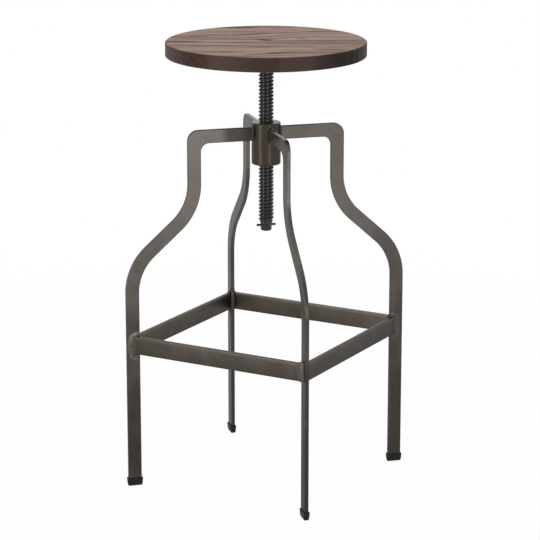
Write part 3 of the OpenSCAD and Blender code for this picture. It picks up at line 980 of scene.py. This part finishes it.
def footrest_welds():
    """A mound and a fillet for both ends of the four bars."""
    fillet = fillet_rings()
    # the inner fillet takes full painted shade
    fillet_shade = np.zeros_like(fillet) + [1.0, 0.0, 0.0]
    for joint, row in enumerate(joints):
        rings, marks = mound_rings(*row)
        for copy, notes in ((onto_leg(rings), marks), (fillet, fillet_shade)):
            if joint % 2:
                copy, notes = (copy * [-1, 1, 1])[:, ::-1], notes[:, ::-1]
            yield turned(copy, 90 * (joint // 2)), notes


add_welds("footrest_weld_mounds", "footrest_welds", footrest_welds())

# %% [markdown]
# The screw has one coarse ridge that winds round a core. On a plain grid of rings the ridge would show as a
# staircase, so the grid follows it: the points of one upright column sit on the ridge's own profile, and
# the column beside it is the same one, lifted by its share of a turn. Where the last column meets the
# first, the profile has climbed exactly one turn, and the faces there simply join one turn higher.

# %% A wall with a helical ridge
thread_sides = 48
pitch = 0.00575
thread_shift = 0.0026
ridge_rise = np.array([-0.36, -0.31, -0.25, -0.19, -0.14, 0.0, 0.14, 0.19, 0.25, 0.31, 0.36, 0.5]) * pitch
ridge_share = np.array([0, 0.12, 0.5, 0.88, 1, 1.04, 1, 0.88, 0.5, 0.12, 0, 0])
thread_margin = 0.0002
thread_fade = 0.3


def thread_points(low, high, valley, ridge):
    """Radius = valley + (ridge - valley) * share, height = pitch * (turn + angle / 2 pi) + shift + rise.
    The ridge stands up over the first part of its first turn, thread_fade, and sinks over the last."""
    first = math.ceil((low + thread_margin - thread_shift - ridge_rise[0]) / pitch)
    last = math.floor((high - thread_margin - thread_shift - ridge_rise[-1]) / pitch) - 1
    turn = np.arange(first, last + 1)[None, :, None]
    angle = np.arange(thread_sides)[:, None, None] * 2 * math.pi / thread_sides
    climb = turn + angle / (2 * math.pi)
    stand = np.clip(np.minimum(climb - first, last + 1 - climb) / thread_fade, 0, 1)
    radius = valley + (ridge - valley) * ridge_share * stand
    height = pitch * climb + thread_shift + ridge_rise
    return stacked(radius * np.cos(angle), radius * np.sin(angle), height).reshape(thread_sides, -1, 3)


def thread_faces(count, wall, below, above):
    """Faces of the wall's columns, of its seam one turn higher, and of the bands to the rings below and
    above. wall, below and above are the numbers of their first points, and count is the column's length."""
    turn = len(ridge_rise)
    i, p = np.meshgrid(np.arange(thread_sides - 1), np.arange(count - 1), indexing="ij")
    here = wall + i * count + p
    columns = stacked(here, here + count, here + count + 1, here + 1).reshape(-1, 4)
    last = wall + (thread_sides - 1) * count
    p = np.arange(count - turn - 1)
    seam = stacked(last + p, wall + p + turn, wall + p + turn + 1, last + p + 1)
    i = np.arange(thread_sides - 1)
    foot = wall + i * count
    under = stacked(below + i, below + i + 1, foot + count, foot)
    head = foot + count - 1
    over = stacked(head, head + count, above + i + 1, above + i)
    start = [below + thread_sides - 1, below, *range(wall, wall + turn + 1), last]
    end = [last + count - 1 - turn, wall + count - 1, above, above + thread_sides - 1]
    end += list(range(last + count - 1, last + count - 1 - turn, -1))
    return [*np.concatenate([columns, seam, under, over]).tolist(), start, end]


def lathe(profile, sides=thread_sides):
    """(r cos a, r sin a, z) for each (r, z) of the profile and each angle a."""
    a = np.arange(sides) * 2 * math.pi / sides
    r, z = np.array(profile, float).T[:, :, None]
    return stacked(r * np.cos(a), r * np.sin(a), z)


# %% [markdown]
# The screw's surface is then three blocks: the plain end with its rounded tip, the thread, and the shank
# that passes through the collar into the plate. The two turned blocks end in the rings that the thread
# starts from, so the whole screw is one closed surface.

# %% Screw
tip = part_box("screw")[0].z
collar_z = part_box("screw_collar")[0].z
plate_low, plate_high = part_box("seat_plate")
thread_radius = 0.012
core_radius = 0.010
plain_end_length = 0.013
plain_end_radius = 0.009
tip_round = 0.003
shoulder = 0.0004
tenon_radius = 0.008
core_ring = 0.0006


def make_screw():
    thread_low = tip + plain_end_length
    lower = lathe([
        *arc(plain_end_radius - tip_round, tip + tip_round, tip_round, -90, 0, 7),
        [plain_end_radius, thread_low - shoulder],
        [plain_end_radius + shoulder / 2, thread_low - shoulder / 4],
        [core_radius - shoulder * 0.75, thread_low],
        [core_radius, thread_low + thread_margin / 2],
    ])
    upper = lathe([
        [core_radius, collar_z - core_ring],
        [core_radius, collar_z],
        [thread_radius, collar_z],
        [thread_radius, plate_low.z],
        [tenon_radius, plate_low.z],
        [tenon_radius, plate_high.z],
    ])
    wall = thread_points(thread_low, collar_z, core_radius, thread_radius)
    above = len(lower) * thread_sides
    faces = band_faces(lower) + end_faces(lower)[:1]
    faces += shifted(band_faces(upper) + end_faces(upper)[1:], above)
    faces += thread_faces(wall.shape[1], above + len(upper) * thread_sides, above - thread_sides, above)
    points = np.concatenate([block.reshape(-1, 3) for block in (lower, upper, wall)])
    return add_piece("screw_thread", points, faces)


dress(make_screw(), "seat", ["screw"], black_finish)

# %% [markdown]
# The hub is a turned nut: its thread inside follows the screw's with a small gap. The same wall serves
# here, looked at from inside, so each of its faces is reversed.

# %% Hub
thread_gap = 0.00035
hub_round = 0.002
hub_mouth = 0.0012
mouth_grow = 0.0004


def make_hub():
    bore = core_radius + thread_gap
    mouth = thread_radius + thread_gap
    low, high = hub_low.z, hub_high.z
    outside = lathe([
        [bore, low + hub_mouth],
        [mouth + mouth_grow, low],
        *arc(hub_radius - hub_round, low + hub_round, hub_round, -90, 0, 6),
        *arc(hub_radius - hub_round, high - hub_round, hub_round, 0, 90, 6),
        [mouth + mouth_grow, high],
        [bore, high - hub_mouth],
    ])
    wall = thread_points(low + hub_mouth, high - hub_mouth, bore, mouth)
    first = len(outside) * thread_sides
    inside = [face[::-1] for face in thread_faces(wall.shape[1], first, 0, first - thread_sides)]
    points = np.concatenate([outside.reshape(-1, 3), wall.reshape(-1, 3)])
    return add_piece("hub_turned", points, band_faces(outside) + inside, even=True)


dress(make_hub(), "frame", ["threaded_hub"], hub_finish)

# %% [markdown]
# The arms are welded to the hub by upright beads. A bead is laid in small overlapping drops, which leave
# ripples: the radius of the bead rises and falls a little along its length. Painted shade darkens the
# bead's side along its arm, and a painted highlight lights it, most at its upper end.

# %% Weld beads of the hub
bead_radius = 0.0024
ripple_length = 0.0017
bead_sides = 12
bead_levels = 85
bead_rise = 0.0016
bead_end = 0.0002


def bead_rings(side):
    """Circles round the corner between an arm and the hub, with radius * sqrt(1 - t^10) * ripple, and the
    weld's notes for each point."""
    t = np.linspace(-1, 1, bead_levels)[:, None]
    height = (arm_top + arm_bottom + bead_rise) / 2 + t * ((bar_width + bead_rise) / 2 - bead_end)
    ripple = 0.86 + 0.14 * np.abs(np.sin(math.pi * height / ripple_length))
    radius = bead_radius * np.sqrt(np.clip(1 - t ** 10, 0.02, 1)) * ripple
    a = np.arange(bead_sides) * 2 * math.pi / bead_sides
    y = side * bar_thickness / 2
    x = math.sqrt(hub_radius ** 2 - y ** 2)
    # painted highlight on the bead's upper end, painted shade where it meets its arm
    tip_share = np.clip((t - 0.8) / 0.1, 0, 1)
    crease_shade = np.clip(np.cos(a) * 3 - 1.6, 0, 1) * (1 - tip_share)
    rings = stacked(x + radius * np.cos(a), y + radius * np.sin(a), height)
    return rings, stacked(crease_shade, 0.3 + 1.5 * tip_share, 0)


def hub_beads():
    """Two beads for each arm, one on either side."""
    for degrees in leg_angles.values():
        for side in (-1, 1):
            rings, marks = bead_rings(side)
            yield turned(rings, degrees), marks


add_welds("hub_weld_beads", "hub_welds", hub_beads())

# %% [markdown]
# A pin through the screw's plain end keeps it from leaving the hub. It is a plain turned rod with its
# sharp ends broken, laid on its side across the screw.

# %% Stop pin
pin_low, pin_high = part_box("stop_pin")
pin_radius = (pin_high.z - pin_low.z) / 2
pin_half_length = math.hypot(pin_high.x, pin_high.y) - pin_radius / 2
pin_chamfer = 0.0005
pin_angle = 45
pin_sides = 32


def make_pin():
    """A profile turned about z, then laid down: (x, y, z) becomes (z, x, y), and turned to its angle."""
    half = [
        [pin_radius, pin_half_length - pin_chamfer],
        [pin_radius - pin_chamfer, pin_half_length],
        [pin_radius - 2 * pin_chamfer, pin_half_length],
    ]
    rod = lathe([[r, -z] for r, z in half[::-1]] + half, pin_sides)
    lying = turned(rod[..., [2, 0, 1]], pin_angle)
    return add_piece("stop_pin_rod", lying + [0, 0, (pin_low.z + pin_high.z) / 2])


dress(make_pin(), "seat", ["stop_pin"], black_finish)
print("pin length in mm:", round(2000 * pin_half_length, 1))

# %% [markdown]
# The seat is turned from the glued boards and its edges are eased by hand, so the rounding is not quite
# the same all the way round, and the rim has faint flats. Both are slow waves round the seat, which only
# ever take wood away, because the seat must not grow past its size.

# %% Wooden seat
seat_sides = 288
edge_round = 0.003
edge_wave = 0.0009
rim_wave = 0.00035


def seat_wave(a, seed):
    """Three slow waves round the seat, from 0 to 1."""
    wave = np.sin(3 * a + seed) + 0.6 * np.sin(7 * a + 2 * seed) + 0.4 * np.sin(17 * a + 5 * seed)
    return (wave / 2 + 1) / 2


def seat_rings():
    """Rings from the middle of the underside, out round the rim and back to the middle of the top."""
    a = np.arange(seat_sides) * 2 * math.pi / seat_sides
    rim = seat_radius - rim_wave * seat_wave(a, 1.3)
    low_round = edge_round - edge_wave * seat_wave(a, 4.1)
    high_round = edge_round - edge_wave * seat_wave(a, 0.4)
    quarter = np.linspace(0, math.pi / 2, 8)[:, None]
    inward = np.array([0.12, 0.3, 0.5, 0.7, 0.85, 0.95])[:, None] * (rim - edge_round)
    blocks = [
        (inward, seat_low.z),
        (rim - low_round + low_round * np.sin(quarter), seat_low.z + low_round * (1 - np.cos(quarter))),
        (rim - high_round + high_round * np.cos(quarter), seat_top - high_round * (1 - np.sin(quarter))),
        (inward[::-1], seat_top),
    ]
    return np.concatenate([stacked(r * np.cos(a), r * np.sin(a), z) for r, z in blocks])


dress(add_piece("seat_boards", seat_rings(), even=True), "seat", ["wooden_seat"], wood_finish)

# %% [markdown]
# The collar, the plate, its weld and its wood screws hide under the seat. Their solids already have the
# right shape, so they stay and only get their finishes.

# %% Finishes for the solids that stay
kept_solids = {
    "screw_collar": black_finish,
    "seat_plate": plate_finish,
    "tenon_weld": black_finish,
    "seat_screws": zinc_finish,
}
for node, material in kept_solids.items():
    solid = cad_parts[node]
    solid.data.materials.clear()
    solid.data.materials.append(material)
    print("kept:", node, "in", material.name)

# %% [markdown]
# The stool stands on a plain white floor. The camera, and whatever mirrors the room, sees floor and world
# as white, while the rest of the light stays at a plain level, so that a colour looks as it is written. A
# small share of the floor still takes real light, which is what keeps the stool's shadow on it.

# %% Floor and world
floor_half = 9.0
floor_drop = 0.0002
floor_white = 0.965
shadow_reach = 0.5
shadow_end = 1.6
world_level = 0.5
white = (1, 1, 1, 1)


def seen_directly(web):
    """1 for rays from the camera, a mirror or glass."""
    path = web.add("ShaderNodeLightPath")
    seen = path["Is Camera Ray"] + path["Is Glossy Ray"] + path["Is Transmission Ray"]
    return web.math("MINIMUM", seen, 1.0)


def make_floor():
    corners = np.array([[-1, -1], [1, -1], [1, 1], [-1, 1]]) * floor_half
    floor = add_piece("floor", stacked(corners[:, 0], corners[:, 1], -floor_drop), [[0, 1, 2, 3]])
    paint = Finish("floor_white", Roughness=1.0, Specular_IOR_Level=0.0)
    paint.set("Base Color", (0.9, 0.9, 0.9, 1.0))
    glow = paint.add("ShaderNodeEmission", {}, {"Color": white, "Strength": 1.0})["Emission"]
    matt = Value(paint, paint.shader.outputs["BSDF"])
    away = paint.rise(paint.distance(), shadow_reach, shadow_end)
    share = seen_directly(paint) * (away * (1 - floor_white) + floor_white)
    mixed = paint.add("ShaderNodeMixShader", {}, [share, matt, glow])["Shader"]
    paint.feed(paint.tree.nodes["Material Output"].inputs["Surface"], mixed)
    floor.data.materials.append(paint.material)


def make_world():
    world = bpy.data.worlds.new("studio")
    world.use_nodes = True
    bpy.context.scene.world = world
    sky = Web(world.node_tree)
    background = world.node_tree.nodes["Background"]
    background.inputs["Color"].default_value = white
    background.inputs["Strength"].default_value = world_level
    plain = Value(sky, background.outputs["Background"])
    bright = sky.add("ShaderNodeBackground", {}, {"Color": white, "Strength": 1.0})["Background"]
    mixed = sky.add("ShaderNodeMixShader", {}, [seen_directly(sky), plain, bright])["Shader"]
    sky.feed(world.node_tree.nodes["World Output"].inputs["Surface"], mixed)


make_floor()
make_world()
print("floor and world: white to the camera, light level", world_level)

# %% [markdown]
# Three soft lamps shape the metal. Two tall ones stand left and right of the camera and draw the bright
# upright bands on the hub and the glints on the thread. A broad one hangs above the seat.

# %% Lamps
lamp_aim = Vector((0, 0, 0.5))


def add_lamp(name, turn, distance, height, width, tall, power):
    """An area lamp at an angle in degrees to the right of the camera, aimed at the stool's upper half."""
    lamp = add_object(name, bpy.data.lights.new(name, "AREA"))
    lamp.data.shape = "RECTANGLE"
    lamp.data.size = width
    lamp.data.size_y = tall
    lamp.data.energy = power
    a = camera_turn + math.radians(turn)
    place = Vector((math.sin(a) * distance, -math.cos(a) * distance, height))
    aimed = (lamp_aim - place).to_track_quat("-Z", "Y").to_matrix().to_4x4()
    lamp.matrix_world = Matrix.Translation(place) @ aimed
    lamp.visible_camera = False
    print(name, "at", [round(c, 2) for c in place])


add_lamp("left_lamp", -47, 1.7, 0.5, 0.3, 0.9, 6)
add_lamp("right_lamp", 26, 1.7, 0.32, 0.42, 0.5, 3.3)
add_lamp("top_lamp", 160, 0.6, 2.3, 1.6, 1.6, 15)

# %% [markdown]
# The last cell sets the scene's view transform to Standard.

# %% View transform
bpy.context.scene.view_settings.view_transform = "Standard"
